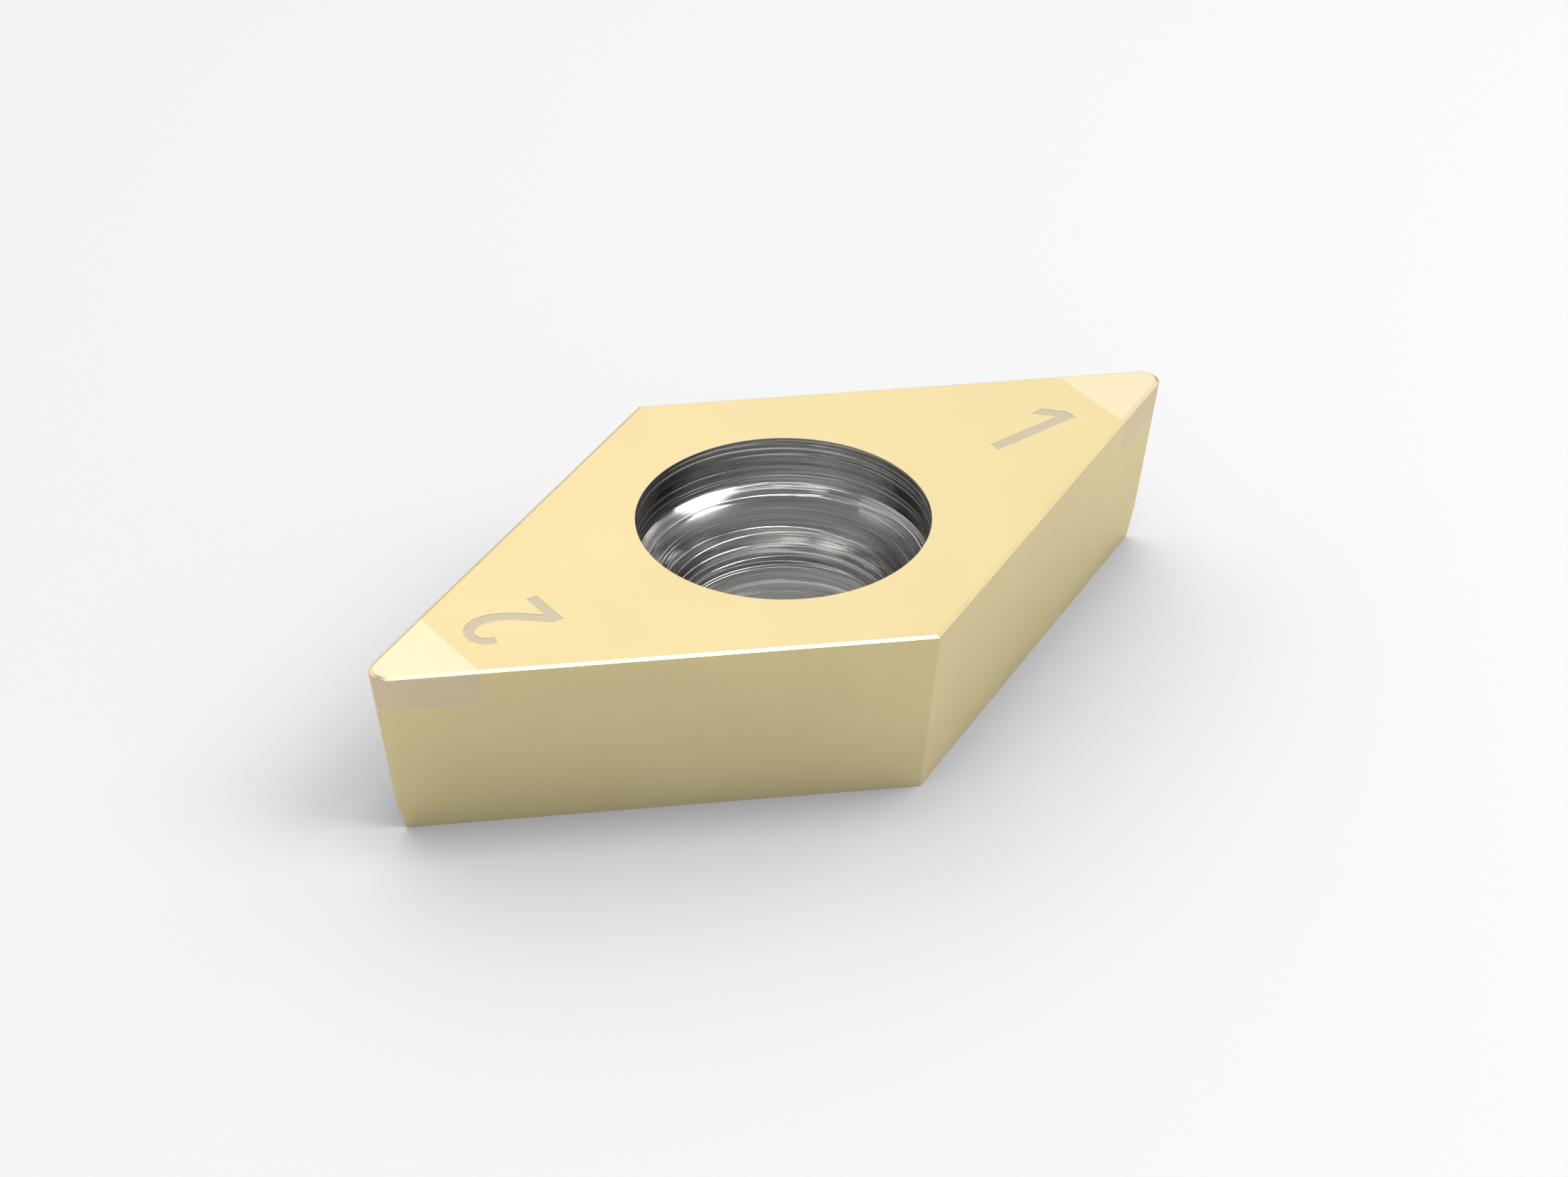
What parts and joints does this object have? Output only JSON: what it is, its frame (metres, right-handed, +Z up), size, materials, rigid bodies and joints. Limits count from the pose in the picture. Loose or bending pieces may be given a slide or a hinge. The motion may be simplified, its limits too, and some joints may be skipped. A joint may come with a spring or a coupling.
{
  "type": "carbide insert",
  "caption": "Diamond-shaped turning insert: relieved flanks, a ground edge land, a cutting tip brazed into each acute corner and a recessed screw hole through the middle.",
  "frame": {"origin": "on the axis of the screw hole, in the plane of the seating face under the insert", "axes": "+Z up the screw hole to the cutting face; +X along the long diagonal to cutting_tip_1; +Y along the short diagonal"},
  "size_m": [0.0196, 0.0108, 0.004],
  "materials": {
    "coated_carbide": "satin",
    "coated_boron_nitride": "satin",
    "braze": "satin"
  },
  "bodies": {
    "root": {"insert_body": "coated_carbide", "cutting_tip_1": "coated_boron_nitride", "cutting_tip_2": "coated_boron_nitride", "braze_joint_1": "braze", "braze_joint_2": "braze"}
  },
  "joints": []
}
